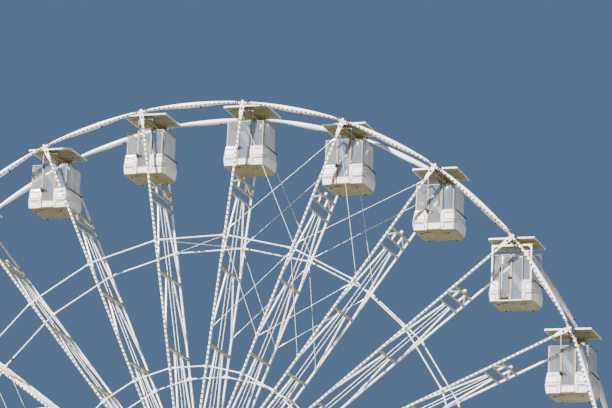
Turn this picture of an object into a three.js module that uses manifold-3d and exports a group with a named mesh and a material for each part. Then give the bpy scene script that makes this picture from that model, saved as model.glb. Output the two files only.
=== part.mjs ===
// Observation wheel with 24 level-hanging cabins on a travelling steel stand.
// Millimetres, +Z up, wheel axis along Y, front of the wheel towards -Y, ground at z = 0.
import * as THREE from "three";
import { mergeVertices } from "three/addons/utils/BufferGeometryUtils.js";
import Module from "manifold-3d";

const wasm = await Module();
wasm.setup();

// Wheel
const BAYS = 24; // spokes, and as many cabins
const BAY_ANGLE = THREE.MathUtils.degToRad(360 / BAYS);
const FIRST_ANGLE = THREE.MathUtils.degToRad(5.5); // from the top to spoke 1, clockwise from the front
const HUB_HEIGHT = 20000;
const WHEEL_RADIUS = 16500; // hub centre to the middle of the rim tubes
const PIVOT_RADIUS = 16400; // hub centre to the cabins' pivots
const RIM_SPACING = 2478; // between the centres of the front and back rim tubes
const HUB_SPACING = 2318; // between the two chords of a spoke, produced to the hub centre
const RIM_OUTSIDE = 105; // from WHEEL_RADIUS out to the rim's outer edge
const RIM_NECK_RADIUS = 65; // where two rim tubes meet over a spoke
const RIM_SPAN_RADIUS = 112; // halfway between two spokes
const RIM_STATIONS = [0.07, 0.25, 0.5, 0.75, 0.93]; // along a bay, from spoke to spoke
const RIM_SIDES = 6;
const CHORD_SIZE = 80;
const STRUT_SIZE = 76;
const DIAGONAL_SIZE = 62;
const STRUT_RADII = [13650, 13270, 12890, 9820, 6690];
// Each pair of diagonals leaves a strut at its thirds and meets the chords nearer the hub.
const DIAGONAL_RUNS = [
  { strut: 12890, foot: 10150 },
  { strut: 9820, foot: 7440 },
  { strut: 6690, foot: 1700 },
];
const RING_SIZE = 64;
const MID_RING_RADIUS = 11140;
const INNER_RING_RADIUS = 5850;
const GAP = 0.5; // between pieces that are bolted or pinned together
const LAP = 20; // how far joined pieces run into each other

// Hub
const SHAFT_RADIUS = 220;
const SHAFT_HALF_LENGTH = 2480;
const DRUM_RADIUS = 620;
const FLANGE_RADIUS = 1250;
const FLANGE_THICKNESS = 120;
const HUB_SIDES = 24;

// Cabin, measured from its pivot
const CANOPY_HALF = { x: 910, y: 920 };
const CANOPY_BOTTOM = 90;
const CANOPY_TOP = 160;
const PIVOT_SHAFT_SIZE = 90;
const PIVOT_SHAFT_HALF_LENGTH = 1176; // to 22 mm short of the spokes' chords
const GLAZING_TOP = -476;
const SILL = -1540;
const SILL_THICKNESS = 1;
const BELT = -1956;
const TUB_EDGE = -2300;
const TUB_BOTTOM = -2400;
const FLOOR_TOP = -2320;
// Half widths and half depths of the plan at each height
const PAN = { x: 700, y: 700 };
const EDGE = { x: 872, y: 797 };
const WIDEST = { x: 941, y: 843 };
const LEDGE = { x: 860, y: 800 };
const GLAZING = { x: 820, y: 736 };
const FRONT_FLAT = 745; // half width of the tub's flat front
const SIDE_FLAT = 660; // half depth of the tub's flat side
const WALL = 40;

// Frame over a cabin's door: two posts beside a narrow door, or a wide portal
const POST_FOOT = SILL - 2 * LAP;
const NARROW_FRAME = {
  y: 780,
  halfWidth: 314,
  post: 48,
  depth: 52,
  beamBottom: -55,
  beamTop: CANOPY_BOTTOM + LAP,
  hanger: 314,
};
const WIDE_FRAME = {
  y: 800,
  halfWidth: 795,
  post: 60,
  depth: 56,
  beamBottom: -170,
  beamTop: -105,
  hanger: 50,
};
const WIDE_DOOR_CABINS = [4, 10, 16, 22];

// Stand
const BEARING_Y = 2150;
const BEARING_SIZE = { x: 760, y: 560, z: 820 };
const BORE_RADIUS = 232;
const FOOT_X = 7200;
const FOOT_Y = 4700;
const OUTRIGGER_Y = 6300;
const BEAM_TOP = 500;
const BEAM_SIZE = 400;
const PAD_HEIGHT = 100;
const PAD_SIZE = 800;
const LEG_SIZE = 420;
const LEG_TOP = HUB_HEIGHT - 300;
const TIE_SIZE = 240;
const BRACE_SIZE = 180;
const TIE_HEIGHTS = [6500, 13000];
const RAKER_TOP = 8200;
const CROSS_BEAM_X = [-7200, -2600, 2600, 7200];
const BEAM_HALF_LENGTH = 8200;

// Boarding platform, which the lowest cabin passes over
const DECK_TOP = 1100;
const DECK_THICKNESS = 120;
const DECK_HALF_WIDTH = 3000;
const DECK_HALF_DEPTH = 5000;
const DECK_POST = 160;
const DECK_POST_X = [-2600, 2600];
const DECK_POST_Y = [-4700, -1600, 1600, 4700];
const STEP_COUNT = 6;
const STEP_GOING = 240;
const STEP_WIDTH = 2400;
const STRINGER = { depth: 400, foot: 500 }; // under the top step, and along the ground

const COLORS = {
  steel: 0xf2f1ec,
  cabin: 0xf4f3ef,
  stand: 0xe4e5e4,
  deck: 0x9a9c9c,
};

const material = (color, roughness, metalness) =>
  new THREE.MeshStandardMaterial({ color, roughness, metalness });

const MATERIALS = {
  steel: material(COLORS.steel, 0.45, 0.1),
  cabin: material(COLORS.cabin, 0.35, 0),
  stand: material(COLORS.stand, 0.5, 0.1),
  deck: material(COLORS.deck, 0.6, 0.3),
};

// Solids and meshes

function solidOf(geometry) {
  const bare = geometry.clone();
  bare.deleteAttribute("normal");
  bare.deleteAttribute("uv");
  const merged = mergeVertices(bare, 1e-3);
  return new wasm.Manifold(
    new wasm.Mesh({
      numProp: 3,
      vertProperties: merged.attributes.position.array,
      triVerts: new Uint32Array(merged.index.array),
    }),
  );
}

function geometryOf(solid) {
  const mesh = solid.getMesh();
  const geometry = new THREE.BufferGeometry();
  geometry.setAttribute("position", new THREE.BufferAttribute(mesh.vertProperties, 3));
  geometry.setIndex(new THREE.BufferAttribute(mesh.triVerts, 1));
  const faceted = geometry.toNonIndexed();
  faceted.computeVertexNormals();
  return faceted;
}

function join(geometries) {
  return geometries.map(solidOf).reduce((whole, piece) => whole.add(piece));
}

function box(low, high) {
  const size = high.map((value, i) => value - low[i]);
  const middle = high.map((value, i) => (value + low[i]) / 2);
  return new THREE.BoxGeometry(...size).translate(...middle);
}

// A square bar between two points; across is the direction of its width.
function bar(from, to, width, across = [1, 0, 0], depth = width) {
  const start = new THREE.Vector3(...from);
  const along = new THREE.Vector3(...to).sub(start);
  const length = along.length();
  along.normalize();
  const depthways = along.clone().cross(new THREE.Vector3(...across)).normalize();
  const widthways = depthways.clone().cross(along).normalize();
  const basis = new THREE.Matrix4().makeBasis(widthways, depthways, along);
  basis.setPosition(start.addScaledVector(along, length / 2));
  return new THREE.BoxGeometry(width, depth, length).applyMatrix4(basis);
}

function turned(profile, segments) {
  const points = profile.map(([radius, y]) => new THREE.Vector2(radius, y));
  return new THREE.LatheGeometry(points, segments);
}

// A solid between octagons with cut corners, given as rows of half width, half depth and height.
function loft(rows) {
  const corners = [];
  for (const { halfX, halfY, flatX, flatY, z } of rows)
    for (const [x, y] of [
      [flatX, -halfY],
      [halfX, -flatY],
      [halfX, flatY],
      [flatX, halfY],
      [-flatX, halfY],
      [-halfX, flatY],
      [-halfX, -flatY],
      [-flatX, -halfY],
    ])
      corners.push(x, y, z);
  const sides = 8;
  const faces = [];
  for (let row = 0; row + 1 < rows.length; row++)
    for (let i = 0; i < sides; i++) {
      const a = row * sides + i;
      const b = row * sides + ((i + 1) % sides);
      faces.push(a, b, b + sides, a, b + sides, a + sides);
    }
  const top = (rows.length - 1) * sides;
  for (let i = 1; i + 1 < sides; i++) {
    faces.push(0, i + 1, i);
    faces.push(top, top + i, top + i + 1);
  }
  const geometry = new THREE.BufferGeometry();
  geometry.setAttribute("position", new THREE.Float32BufferAttribute(corners, 3));
  geometry.setIndex(faces);
  return geometry;
}

const wheel = new THREE.Group();
wheel.position.z = HUB_HEIGHT;
const group = new THREE.Group();
group.add(wheel);

function addNode(parent, name, geometry, look) {
  const mesh = new THREE.Mesh(geometry, look);
  mesh.name = name;
  parent.add(mesh);
  return mesh;
}

// Wheel pieces are made with spoke 1 upright, at radius = z

const halfSpacingAt = (radius) =>
  (HUB_SPACING + (RIM_SPACING - HUB_SPACING) * (radius / WHEEL_RADIUS)) / 2;

const RIM_FLAT = Math.cos(Math.PI / RIM_SIDES); // a flat's distance from the axis, for a radius of 1
const RIM_NECK_END = RIM_STATIONS[0];

// Each bay of the rim is a tube that swells from its necks to the middle of the bay,
// on the inside only: the outer edge keeps its radius.
function rimTubeRadius(station) {
  const along = (station - RIM_NECK_END) / (1 - 2 * RIM_NECK_END);
  const swell = (1 - Math.cos(2 * Math.PI * along)) / 2;
  return RIM_NECK_RADIUS + (RIM_SPAN_RADIUS - RIM_NECK_RADIUS) * swell;
}

function rim() {
  const corners = [];
  for (let bay = 0; bay < BAYS; bay++)
    for (const station of RIM_STATIONS) {
      const turn = (bay + station) * BAY_ANGLE;
      const tube = rimTubeRadius(station);
      const middle = WHEEL_RADIUS + RIM_OUTSIDE - tube * RIM_FLAT;
      for (let i = 0; i < RIM_SIDES; i++) {
        const angle = ((i + 0.5) * 2 * Math.PI) / RIM_SIDES;
        const radius = middle + tube * Math.cos(angle);
        corners.push(radius * Math.sin(turn), tube * Math.sin(angle), radius * Math.cos(turn));
      }
    }
  const rows = BAYS * RIM_STATIONS.length;
  const faces = [];
  for (let row = 0; row < rows; row++)
    for (let i = 0; i < RIM_SIDES; i++) {
      const next = ((row + 1) % rows) * RIM_SIDES;
      const j = (i + 1) % RIM_SIDES;
      const a = row * RIM_SIDES;
      faces.push(a + i, next + i, next + j, a + i, next + j, a + j);
    }
  const geometry = new THREE.BufferGeometry();
  geometry.setAttribute("position", new THREE.Float32BufferAttribute(corners, 3));
  geometry.setIndex(faces);
  return geometryOf(solidOf(geometry));
}

function ring(radius) {
  const half = RING_SIZE / 2;
  return turned(
    [
      [radius - half, -half],
      [radius + half, -half],
      [radius + half, half],
      [radius - half, half],
      [radius - half, -half],
    ],
    BAYS,
  );
}

// The rings lie just inside the chords, which pass them unbroken.
const ringOffset = (radius) =>
  halfSpacingAt(radius) - CHORD_SIZE / 2 - RING_SIZE / 2 - 2 * GAP;

function hub() {
  const flange = halfSpacingAt(FLANGE_RADIUS);
  const outer = flange + FLANGE_THICKNESS / 2;
  const inner = flange - FLANGE_THICKNESS / 2;
  return turned(
    [
      [0, -SHAFT_HALF_LENGTH],
      [SHAFT_RADIUS, -SHAFT_HALF_LENGTH],
      [SHAFT_RADIUS, -outer],
      [FLANGE_RADIUS, -outer],
      [FLANGE_RADIUS, -inner],
      [DRUM_RADIUS, -inner],
      [DRUM_RADIUS, inner],
      [FLANGE_RADIUS, inner],
      [FLANGE_RADIUS, outer],
      [SHAFT_RADIUS, outer],
      [SHAFT_RADIUS, SHAFT_HALF_LENGTH],
      [0, SHAFT_HALF_LENGTH],
    ],
    HUB_SIDES,
  );
}

// The neck over a spoke is straight, and its inner face lies flat on the spoke's two chords.
const RIM_INNER =
  (WHEEL_RADIUS + RIM_OUTSIDE - 2 * RIM_NECK_RADIUS * RIM_FLAT) *
  Math.cos(RIM_NECK_END * BAY_ANGLE);

function spoke() {
  const parts = [];
  const chordBottom = FLANGE_RADIUS + GAP;
  const chordTop = RIM_INNER - GAP;
  for (const side of [-1, 1]) {
    parts.push(
      bar(
        [0, side * halfSpacingAt(chordBottom), chordBottom],
        [0, side * halfSpacingAt(chordTop), chordTop],
        CHORD_SIZE,
      ),
    );
    for (const { strut, foot } of DIAGONAL_RUNS)
      parts.push(
        bar(
          [0, (side * halfSpacingAt(strut)) / 3, strut],
          [0, side * halfSpacingAt(foot), foot],
          DIAGONAL_SIZE,
        ),
      );
  }
  for (const radius of STRUT_RADII)
    parts.push(
      bar(
        [0, -halfSpacingAt(radius), radius],
        [0, halfSpacingAt(radius), radius],
        STRUT_SIZE,
      ),
    );
  return geometryOf(join(parts));
}

// Cabins

function cabin(frame) {
  const octagon = (half, z, inset = 0) => ({
    halfX: half.x - inset,
    halfY: half.y - inset,
    flatX: Math.min(FRONT_FLAT, half.x - inset - WALL),
    flatY: Math.min(SIDE_FLAT, half.y - inset - WALL),
    z,
  });
  const shell = loft([
    octagon(PAN, TUB_BOTTOM),
    octagon(EDGE, TUB_EDGE),
    octagon(WIDEST, BELT),
    octagon(LEDGE, SILL),
    octagon(GLAZING, SILL + SILL_THICKNESS),
    octagon(GLAZING, GLAZING_TOP),
  ]);
  const room = loft([
    octagon(GLAZING, FLOOR_TOP, WALL),
    octagon(GLAZING, GLAZING_TOP + LAP, WALL),
  ]);
  const half = PIVOT_SHAFT_SIZE / 2;
  const parts = [
    box([-half, -PIVOT_SHAFT_HALF_LENGTH, -half], [half, PIVOT_SHAFT_HALF_LENGTH, half]),
    box(
      [-CANOPY_HALF.x, -CANOPY_HALF.y, CANOPY_BOTTOM],
      [CANOPY_HALF.x, CANOPY_HALF.y, CANOPY_TOP],
    ),
  ];
  for (const side of [-1, 1]) parts.push(doorFrame(frame, side * frame.y));
  return geometryOf(solidOf(shell).subtract(solidOf(room)).add(join(parts)));
}

// Two posts, the beam over them and the hanger up to the canopy, as one flat frame.
function doorFrame({ halfWidth, post, depth, beamBottom, beamTop, hanger }, y) {
  const inner = halfWidth - post;
  const head =
    hanger < halfWidth
      ? [
          [halfWidth, beamTop],
          [hanger, beamTop],
          [hanger, CANOPY_BOTTOM + LAP],
          [-hanger, CANOPY_BOTTOM + LAP],
          [-hanger, beamTop],
          [-halfWidth, beamTop],
        ]
      : [
          [halfWidth, beamTop],
          [-halfWidth, beamTop],
        ];
  const outline = new THREE.Shape(
    [
      [-halfWidth, POST_FOOT],
      [-inner, POST_FOOT],
      [-inner, beamBottom],
      [inner, beamBottom],
      [inner, POST_FOOT],
      [halfWidth, POST_FOOT],
      ...head,
    ].map(([x, z]) => new THREE.Vector2(x, z)),
  );
  return new THREE.ExtrudeGeometry(outline, { depth, bevelEnabled: false })
    .rotateX(Math.PI / 2)
    .translate(0, y + depth / 2, 0);
}

// Stand

const legFraction = (z) => (HUB_HEIGHT - z) / (HUB_HEIGHT - BEAM_TOP);
const legPoint = (side, end, z) => [
  end * FOOT_X * legFraction(z),
  side * (BEARING_Y + (FOOT_Y - BEARING_Y) * legFraction(z)),
  z,
];

function legs(side) {
  const parts = [
    box(
      [-BEARING_SIZE.x / 2, side * BEARING_Y - BEARING_SIZE.y / 2, HUB_HEIGHT - BEARING_SIZE.z / 2],
      [BEARING_SIZE.x / 2, side * BEARING_Y + BEARING_SIZE.y / 2, HUB_HEIGHT + BEARING_SIZE.z / 2],
    ),
  ];
  for (const end of [-1, 1]) {
    parts.push(bar(legPoint(side, end, BEAM_TOP + GAP), legPoint(side, end, LEG_TOP), LEG_SIZE));
    parts.push(
      bar(
        [end * FOOT_X, side * OUTRIGGER_Y, BEAM_TOP + GAP],
        legPoint(side, end, RAKER_TOP),
        BRACE_SIZE,
      ),
    );
    parts.push(
      bar(
        [0, legPoint(side, end, TIE_HEIGHTS[0])[1], TIE_HEIGHTS[0]],
        legPoint(side, end, TIE_HEIGHTS[1]),
        BRACE_SIZE,
        [0, 1, 0],
      ),
    );
  }
  for (const z of TIE_HEIGHTS)
    parts.push(bar(legPoint(side, -1, z), legPoint(side, 1, z), TIE_SIZE, [0, 1, 0]));
  const whole = join(parts);
  const bore = solidOf(
    new THREE.CylinderGeometry(BORE_RADIUS, BORE_RADIUS, 2 * BEARING_SIZE.y, HUB_SIDES)
      .translate(0, side * BEARING_Y, HUB_HEIGHT),
  );
  const belowFloor = solidOf(
    box(
      [-2 * FOOT_X, -2 * OUTRIGGER_Y, -BEAM_TOP],
      [2 * FOOT_X, 2 * OUTRIGGER_Y, BEAM_TOP + GAP],
    ),
  );
  return geometryOf(whole.subtract(bore).subtract(belowFloor));
}

function baseFrame() {
  const half = BEAM_SIZE / 2;
  const parts = [];
  for (const side of [-1, 1])
    parts.push(
      box(
        [-BEAM_HALF_LENGTH, side * FOOT_Y - half, PAD_HEIGHT],
        [BEAM_HALF_LENGTH, side * FOOT_Y + half, BEAM_TOP],
      ),
    );
  for (const x of CROSS_BEAM_X) {
    const reach = Math.abs(x) === FOOT_X ? OUTRIGGER_Y + half : FOOT_Y;
    parts.push(box([x - half, -reach, PAD_HEIGHT], [x + half, reach, BEAM_TOP]));
    for (const side of [-1, 1]) parts.push(pad(x, side * FOOT_Y));
  }
  for (const x of [-FOOT_X, FOOT_X])
    for (const side of [-1, 1]) parts.push(pad(x, side * OUTRIGGER_Y));
  return geometryOf(join(parts));
}

function pad(x, y) {
  const half = PAD_SIZE / 2;
  return box([x - half, y - half, 0], [x + half, y + half, PAD_HEIGHT]);
}

function platform() {
  const bottom = DECK_TOP - DECK_THICKNESS;
  const half = DECK_POST / 2;
  const parts = [
    box([-DECK_HALF_WIDTH, -DECK_HALF_DEPTH, bottom], [DECK_HALF_WIDTH, DECK_HALF_DEPTH, DECK_TOP]),
  ];
  for (const x of DECK_POST_X)
    for (const y of DECK_POST_Y)
      parts.push(box([x - half, y - half, BEAM_TOP + GAP], [x + half, y + half, bottom + LAP]));
  return geometryOf(join(parts));
}

function steps() {
  const rise = DECK_TOP / STEP_COUNT;
  const points = [new THREE.Vector2(0, DECK_TOP - STRINGER.depth)];
  for (let i = 1; i < STEP_COUNT; i++) {
    points.push(new THREE.Vector2((i - 1) * STEP_GOING, DECK_TOP - i * rise));
    points.push(new THREE.Vector2(i * STEP_GOING, DECK_TOP - i * rise));
  }
  const end = (STEP_COUNT - 1) * STEP_GOING;
  points.push(new THREE.Vector2(end, 0));
  points.push(new THREE.Vector2(end - STRINGER.foot, 0));
  return new THREE.ExtrudeGeometry(new THREE.Shape(points), {
    depth: STEP_WIDTH,
    bevelEnabled: false,
  })
    .rotateX(Math.PI / 2)
    .rotateZ(-Math.PI / 2)
    .translate(STEP_WIDTH / 2, -DECK_HALF_DEPTH - GAP, 0);
}

const twoDigits = (n) => String(n).padStart(2, "0");
const spokeGeometry = spoke();
const narrowCabin = cabin(NARROW_FRAME);
const wideCabin = cabin(WIDE_FRAME);

for (const [name, side] of [
  ["front", -1],
  ["back", 1],
]) {
  const rimMesh = addNode(wheel, name + "_rim", rim(), MATERIALS.steel);
  rimMesh.position.y = (side * RIM_SPACING) / 2;
  rimMesh.rotation.y = FIRST_ANGLE;
  for (const [ringName, radius] of [
    ["mid_ring", MID_RING_RADIUS],
    ["inner_ring", INNER_RING_RADIUS],
  ]) {
    const mesh = addNode(wheel, name + "_" + ringName, ring(radius), MATERIALS.steel);
    mesh.position.y = side * ringOffset(radius);
    mesh.rotation.y = FIRST_ANGLE;
  }
  addNode(group, name + "_legs", legs(side), MATERIALS.stand);
}
addNode(wheel, "hub", hub(), MATERIALS.steel).rotation.y = FIRST_ANGLE;

for (let n = 1; n <= BAYS; n++) {
  const angle = FIRST_ANGLE + (n - 1) * BAY_ANGLE;
  addNode(wheel, "spoke_" + twoDigits(n), spokeGeometry, MATERIALS.steel).rotation.y = angle;
  const shape = WIDE_DOOR_CABINS.includes(n) ? wideCabin : narrowCabin;
  const cabinMesh = addNode(wheel, "cabin_" + twoDigits(n), shape, MATERIALS.cabin);
  cabinMesh.position.set(PIVOT_RADIUS * Math.sin(angle), 0, PIVOT_RADIUS * Math.cos(angle));
}

addNode(group, "base_frame", baseFrame(), MATERIALS.stand);
addNode(group, "boarding_platform", platform(), MATERIALS.deck);
addNode(group, "boarding_steps", steps(), MATERIALS.deck);

export default group;
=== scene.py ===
"""Looks of the observation wheel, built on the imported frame. Metres, +Z up, front towards -Y."""

import math
from itertools import product

import bmesh
import bpy
from mathutils import Matrix, Vector


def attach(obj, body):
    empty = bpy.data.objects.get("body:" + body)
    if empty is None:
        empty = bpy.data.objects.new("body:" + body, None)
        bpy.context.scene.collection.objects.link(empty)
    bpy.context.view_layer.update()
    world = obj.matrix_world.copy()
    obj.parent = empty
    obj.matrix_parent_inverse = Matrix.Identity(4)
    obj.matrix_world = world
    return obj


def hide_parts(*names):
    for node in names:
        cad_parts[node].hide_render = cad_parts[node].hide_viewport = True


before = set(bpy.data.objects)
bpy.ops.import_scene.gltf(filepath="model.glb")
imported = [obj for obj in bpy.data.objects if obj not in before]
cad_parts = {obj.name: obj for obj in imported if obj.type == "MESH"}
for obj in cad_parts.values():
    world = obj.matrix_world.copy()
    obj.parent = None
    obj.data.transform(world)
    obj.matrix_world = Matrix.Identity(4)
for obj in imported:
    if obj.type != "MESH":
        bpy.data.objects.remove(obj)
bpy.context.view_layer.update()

X, Y, Z = [Vector(axis) for axis in ((1, 0, 0), (0, 1, 0), (0, 0, 1))]
ENDS = (-1, 1)
CORNERS = tuple(product(ENDS, repeat=2))

# Camera, from a fit to the photograph
CAMERA_PLACE = (39.0196, -105.8611, 3.4280)
CAMERA_ANGLES = (104.6328, -2.2210, 17.7247)
CAMERA_LENS = 170.649
CAMERA_SENSOR = 36
CAMERA_REACH = 2000

# Studio
FLOOR_HALF = 400
FLOOR_HEIGHT = -0.002
SKY = (0.10, 0.165, 0.29, 1)
KEY_SUN = (20.0, (51, 0, -34.5), 1.5, (1.0, 0.97, 0.92))
FILL_SUN = (0.05, (75, 0, 50), 40)

# Edges turned by more than this are drawn sharp
SHARP = math.radians(38)

# How far edges are cut back
FINE = 0.003
THIN = 0.004
SOFT = 0.006
BROAD = 0.008

# Wheel
BAYS = 24
BAY_ANGLE = 360 / BAYS
FIRST_ANGLE = 5.5
HUB_HEIGHT = 20.0
WHEEL_RADIUS = 16.5
RIM_SPACING = 2.478
HUB_SPACING = 2.318
RIM_OUTSIDE = 0.110
RIM_NECK = 0.052
RIM_SPAN = 0.108
RIM_NECK_END = 0.07
RIM_STEPS = 14
RIM_SIDES = 16
RIM_CLIPS = ((0.086, 1), (0.59, -1), (0.775, 1), (0.914, 1))
SADDLE_LIFT = 0.064
SADDLE_REACH = 0.245
LAMP_LEAN = math.radians(24)
LAMP_PITCH = 0.195
LAMP_RUN = (1.6, 16.0)
SPOKE_LAMP = 0.036
RIM_LAMP = 0.044
CHORD = 0.078
CHORD_EDGE = 0.012
CHORD_TOP = 16.485
STRUT = 0.074
LOWER_STRUT = 0.098
DIAGONAL = 0.062
STRUT_RADII = (13.65, 13.27, 12.89, 9.82, 6.69)
DIAGONAL_RUNS = ((12.89, 10.15), (9.82, 7.44), (6.69, 1.70))
GUSSET = 0.076
GUSSET_DEPTH = 0.026
HEAD_POST = 0.070
HEAD_BRACE = 0.05
BALL = 0.066
STAY_ROD = 0.014
STAY_ROD_Y = 0.20
TIE_PITCH = 1.2
FORK_OUTLINE = ((-0.09, 1.02), (0.09, 1.02), (0.12, 1.12), (0.08, 1.52), (-0.08, 1.52), (-0.12, 1.12))
FORK_BOLTS = ((-0.055, 1.10), (0.055, 1.10), (0, 1.19), (0, 1.34), (0, 1.45))
HEAD_OUTLINE = (
    (-0.040, 15.95), (0.040, 15.95), (0.064, 16.03), (0.090, 16.47), (-0.090, 16.47), (-0.064, 16.03),
)
HEAD_PIN = 16.30
HEAD_BOLTS = 16.44
HOUSING = ((0.078, 0.002), (0.078, -0.018), (0.064, -0.030), (0.052, -0.030), (0.052, 0.002))
MID_RING = 11.14
INNER_RING = 5.85
RING_TUBE = 0.025
RING_CLAMP_REACH = 0.44
FLANGE_RADIUS = 1.25
FLANGE_THICKNESS = 0.12
SHAFT_END = 2.48
SHAFT_CAP = ((0.09, 0), (0.09, 0.02), (0.06, 0.03), (0, 0.03))
GUSSET_OUTLINE = ((0.36, 0), (0.92, 0), (0.92, 0.03), (0.44, 0.24), (0.36, 0.24))
BRACED_SPOKES = (1, 7, 13, 19)
CABLE_TUBE = 0.007
STAY_OFFSET = 0.04
STAY_ENDS = ((11.33, 15.98, 0.22), (10.90, 7.44, 0.02))

# Cabin, from its pivot
PIVOT_RADIUS = 16.40
PIVOT_SHAFT = 0.045
PIVOT_SHAFT_END = 1.197
COLLAR = ((0.045, 0), (0.066, 0), (0.066, 0.05), (0.045, 0.05))
FRONT_FLAT = 0.79
SIDE_FLAT = 0.60
CREASE = 0.022
SILL = -1.54
GLAZING_TOP = -0.476
TUB_WALL = 0.035
TUB_BOTTOM = -2.295
TUB_ROWS = (
    (-1.540, 0.852, 0.800),
    (-1.558, 0.862, 0.808),
    (-1.572, 0.864, 0.809),
    (-1.574, 0.850, 0.795),
    (-1.598, 0.854, 0.797),
    (-1.600, 0.870, 0.812),
    (-1.720, 0.892, 0.824),
    (-1.892, 0.920, 0.838),
    (-1.894, 0.904, 0.822),
    (-1.918, 0.904, 0.822),
    (-1.920, 0.924, 0.842),
    (-1.956, 0.928, 0.843),
    (-1.990, 0.926, 0.842),
    (-1.992, 0.906, 0.822),
    (-2.016, 0.906, 0.822),
    (-2.018, 0.922, 0.838),
    (-2.150, 0.902, 0.820),
    (-2.240, 0.880, 0.808),
    (-2.300, 0.862, 0.797),
)
PAN_ROWS = (
    (-2.300, 0.862, 0.797),
    (-2.322, 0.845, 0.762),
    (-2.350, 0.812, 0.722),
    (-2.380, 0.760, 0.680),
    (-2.400, 0.690, 0.640),
)
SILL_ROWS = ((SILL - 0.02, 0.868, 0.806), (SILL + 0.006, 0.860, 0.800), (SILL + 0.014, 0.845, 0.785))
PANELS = ((-1.650, -1.868, 0.09), (-2.045, -2.255, 0.11))
PANEL_MARGIN = 0.085
BEAD = 0.024
RAIL_KNOB = ((0, -0.045), (0.026, -0.040), (0.042, -0.012), (0.042, 0.018), (0.028, 0.040), (0, 0.045))
PAN_FOOT = ((0.050, -0.02), (0.050, 0.012), (0.036, 0.030), (0, 0.030))
PAN_DRAIN = ((0.030, 0), (0.030, 0.010), (0.016, 0.010), (0.016, 0.002), (0, 0.002))
SEAT_OUTLINE = (
    (0.36, -1.965), (0.345, -1.94), (0.36, -1.915), (0.46, -1.905), (0.74, -1.925),
    (0.80, -1.86), (0.825, -1.56), (0.845, -1.555), (0.85, -1.60), (0.85, -1.965),
)
SEAT_FRONT = ((0.40, -1.965), (0.42, -2.31), (0.44, -2.31), (0.42, -1.965))
CANOPY_HALF = (0.92, 0.935)
CANOPY_BOTTOM = 0.09
CANOPY_TOP = 0.16
CANOPY_CORNER = 0.05
POST_X = 0.29
POST_Y = 0.78
WIDE_POST_X = 0.765
WIDE_POST_Y = 0.80
PIVOT_CAP = ((0.075, 0), (0.075, 0.014), (0.060, 0.024), (0.045, 0.024))
DOOR_BOTTOM = -2.285
DOOR_JAMB = 0.03
STANDARD_DOOR = (-0.262, 0.262)
WIDE_DOOR = (-0.48, 0.43)
WIDE_DOOR_MEETING = -0.025
WIDE_DOOR_Y = 0.775
WIDE_CABINS = (4, 10, 16, 22)

# Stand
LEG_SIZE = 0.42
FOOT_X, FOOT_Y = 7.2, 4.7
FOOT_HALF = 0.31
FOOT_GUSSET = ((0.12, 0.03), (0.30, 0.03), (0.30, 0.06), (0.21, 0.30), (0.12, 0.30))
OUTRIGGER_Y = 6.3
BEARING_Y = 2.15
BEARING_HALF = (0.38, 0.28, 0.41)
BEARING_BORE = 0.250
BEARING_RING = (
    (0.245, -0.01), (0.335, -0.01), (0.335, 0.022), (0.315, 0.030), (0.262, 0.030), (0.245, 0.022),
)
BEARING_RING_BOLTS = 0.292
GREASE_CAP = ((0.022, 0), (0.022, 0.05), (0.010, 0.06), (0.010, 0.09), (0, 0.09))
BEAM_TOP = 0.5
BEAM_HALF = 0.2
BEAM_PLATE = 0.014
STIFFENER_PITCH = 0.9
PAD_TOP = 0.1
BEAM_REACH = 8.2
CROSS_BEAMS = (-7.2, -2.6, 2.6, 7.2)
SPLICE_HEIGHTS = (3.6, 9.8, 16.2)
LUG_HEIGHTS = (6.5, 13.0, 8.2)
LADDER_RUN = (1.0, 18.6)
LADDER_HALF = 0.20
LADDER_STAND_OFF = 0.17
RUNG_PITCH = 0.30
DECK_TOP = 1.1
DECK_HALF = (3.0, 5.0)
STEP_HALF_WIDTH = 1.2
STEP_GOING = 0.24
STEP_COUNT = 6
RAIL_HEIGHT = 1.1
RAIL_TUBE = 0.022
POST_PITCH = 1.2
RAIL_FLANGE = ((0.055, 0), (0.055, 0.010), (0.026, 0.012))


def about(middle, half):
    return middle - half, middle + half


def spots(u, v):
    """Four places, one in each quarter."""
    return product((-u, u), (-v, v))


# Corners of a block's faces, two on each axis
BLOCK_FACES = ((0, 1, 3, 2), (4, 6, 7, 5), (0, 4, 5, 1), (2, 3, 7, 6), (0, 2, 6, 4), (1, 5, 7, 3))


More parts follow.
